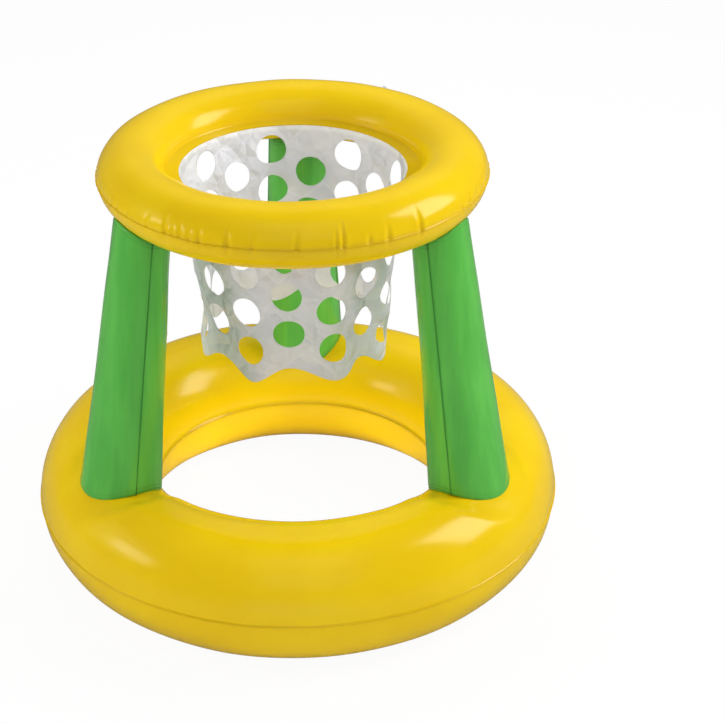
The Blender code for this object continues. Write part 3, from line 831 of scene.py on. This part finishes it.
valve_vinyl = finish_of("valve_vinyl", milky_moulding)
for valve, film in VALVE_FILMS.items():
    place, bend_across, bend_up = valve_seat(valve)
    cut_seat(bpy.data.objects[film], place, bend_across, bend_up)
    flange = turned(FLANGE_SECTION, True)
    for vert in flange.verts:
        reach = vert.co.xy.length
        if reach > VALVE_LIP_RADIUS:
            sag = (vert.co.x**2 * bend_across + vert.co.y**2 * bend_up) / 2
            vert.co.z -= sag * (1 - (VALVE_LIP_RADIUS / reach) ** 2)
    valve_piece(f"{valve}_valve_flange", flange, place, "skin")
    stem = turned(STEM_SECTION, True)
    strap(stem, **STEM_STRAP)
    valve_piece(f"{valve}_valve_stem", stem, place, f"{valve}_valve_stem")
    plug = turned(PLUG_SECTION, False)
    strap(plug, **PLUG_STRAP)
    root = Matrix.Translation((0, VALVE_STRAP_ROOT, VALVE_HINGE_RISE + STRAP_ROOT_RISE))
    bmesh.ops.create_cone(plug, cap_ends=True, segments=16, radius1=STRAP_ROOT_RADIUS,
                          radius2=STRAP_ROOT_RADIUS, depth=VALVE_STRAP_WIDTH,
                          matrix=root @ Matrix.Rotation(pi / 2, 4, "Y"))
    valve_piece(f"{valve}_valve_plug", plug, place, f"{valve}_valve_plug")
    for slot in frame["nodes"][f"{valve}_valve_flap"].material_slots:
        slot.material = valve_vinyl


# --------------------------------------------------------------------------------------- Studio
# A plain white floor and background. Soft rectangular lamps light the hoop from every side, and
# two windows, right and left, shine in its gloss. The camera looks down at it from the front.

LOOK_AT = Vector((0.0, 0.0, 0.28))
FLOOR_HALF = 20
WHITE = (1.0, 1.0, 1.0)
LAMPS = [
    ("key_soft", 0, 36, 2.5, 1.15, 1.6, 42, WHITE, True, False),
    ("key_window", 0, 34, 2.5, 1.05, 1.5, 25, (1.0, 0.92, 0.83), False, True),
    ("fill_soft", -172, 18, 2.3, 1.0, 1.2, 21.5, WHITE, True, False),
    ("fill_window", -160, 15, 2.1, 0.75, 0.42, 3.0, (1.0, 0.93, 0.84), False, True),
    ("front_soft", -85, 32, 2.6, 1.6, 1.2, 9.5, WHITE, True, False),
    ("high_soft", -85, 62, 2.6, 1.6, 1.2, 12.5, WHITE, True, False),
    ("back_soft", 90, 45, 2.5, 2.0, 1.5, 32, WHITE, True, False),
    ("floor_bounce", 0, -90, 0.277, 0.3, 0.3, 0.34, WHITE, True, False),
    ("floor_front", -90, -13, 0.9, 0.5, 0.2, 0.45, WHITE, True, False)]
CAMERA_PLACE = (0.0828, -2.0983, 1.4034)
CAMERA_TILT = radians(61.197)
CAMERA_LENS = 93.84
CAMERA_SENSOR = 36


def background(tree, gloss):
    """How white rays see the background: full from the camera, and a share of it in a gloss."""
    seen = [tree.node("LightPath", {}, {}, kind) for kind in
            ("Is Camera Ray", "Is Transmission Ray", "Is Glossy Ray")]
    return tree.math("MAXIMUM", tree.math("MAXIMUM", seen[0], seen[1]), gloss * seen[2])


def lamp(name, azimuth, elevation, distance, width, height, power, colour, lights, shines):
    """A soft rectangular lamp that faces the hoop."""
    light = bpy.data.lights.new(name, "AREA")
    light.shape = "RECTANGLE"
    light.size = width
    light.size_y = height
    light.energy = power
    light.color = colour
    holder = bpy.data.objects.new(name, light)
    bpy.context.scene.collection.objects.link(holder)
    turn, rise = radians(azimuth), radians(elevation)
    way = Vector((cos(rise) * cos(turn), cos(rise) * sin(turn), sin(rise)))
    holder.location = LOOK_AT + way * distance
    holder.rotation_euler = way.to_track_quat("Z", "Y").to_euler()
    holder.visible_camera = False
    holder.visible_diffuse = lights
    holder.visible_glossy = shines


world = bpy.data.worlds.new("studio")
world.use_nodes = True
world.node_tree.nodes.clear()
sky = Wire(world.node_tree)
white = sky.node("Background", {}, {"Color": (*WHITE, 1), "Strength": 1.0})
room = sky.node("Background", {}, {"Color": (*WHITE, 1), "Strength": 0.12})
sky.node("OutputWorld", {}, {"Surface": sky.node(
    "MixShader", {}, {0: background(sky, 0.05), 1: room, 2: white})})
bpy.context.scene.world = world

floor_finish = bpy.data.materials.new("floor_white")
floor_finish.use_nodes = True
floor_finish.node_tree.nodes.clear()
ground = Wire(floor_finish.node_tree)
paint = ground.node("BsdfDiffuse", {}, {"Color": (0.92, 0.92, 0.92, 1)})
shine = 1 - 0.88 * ground.node("LightPath", {}, {}, "Is Glossy Ray")
glow = ground.node("Emission", {}, {"Color": (*WHITE, 1), "Strength": shine})
ground.node("OutputMaterial", {}, {"Surface": ground.node(
    "MixShader", {}, {0: 0.95 * background(ground, 0.9), 1: paint, 2: glow})})
mesh = bmesh.new()
bmesh.ops.create_grid(mesh, x_segments=8, y_segments=8, size=FLOOR_HALF)
floor_data = bpy.data.meshes.new("floor")
mesh.to_mesh(floor_data)
mesh.free()
floor_data.materials.append(floor_finish)
floor = bpy.data.objects.new("floor", floor_data)
bpy.context.scene.collection.objects.link(floor)

for settings in LAMPS:
    lamp(*settings)

camera = bpy.data.cameras.new("camera")
camera.lens = CAMERA_LENS
camera.sensor_width = CAMERA_SENSOR
viewer = bpy.data.objects.new("camera", camera)
viewer.location = CAMERA_PLACE
viewer.rotation_euler = (CAMERA_TILT, 0, 0)
bpy.context.scene.collection.objects.link(viewer)
bpy.context.scene.camera = viewer
bpy.context.scene.view_settings.view_transform = "Standard"
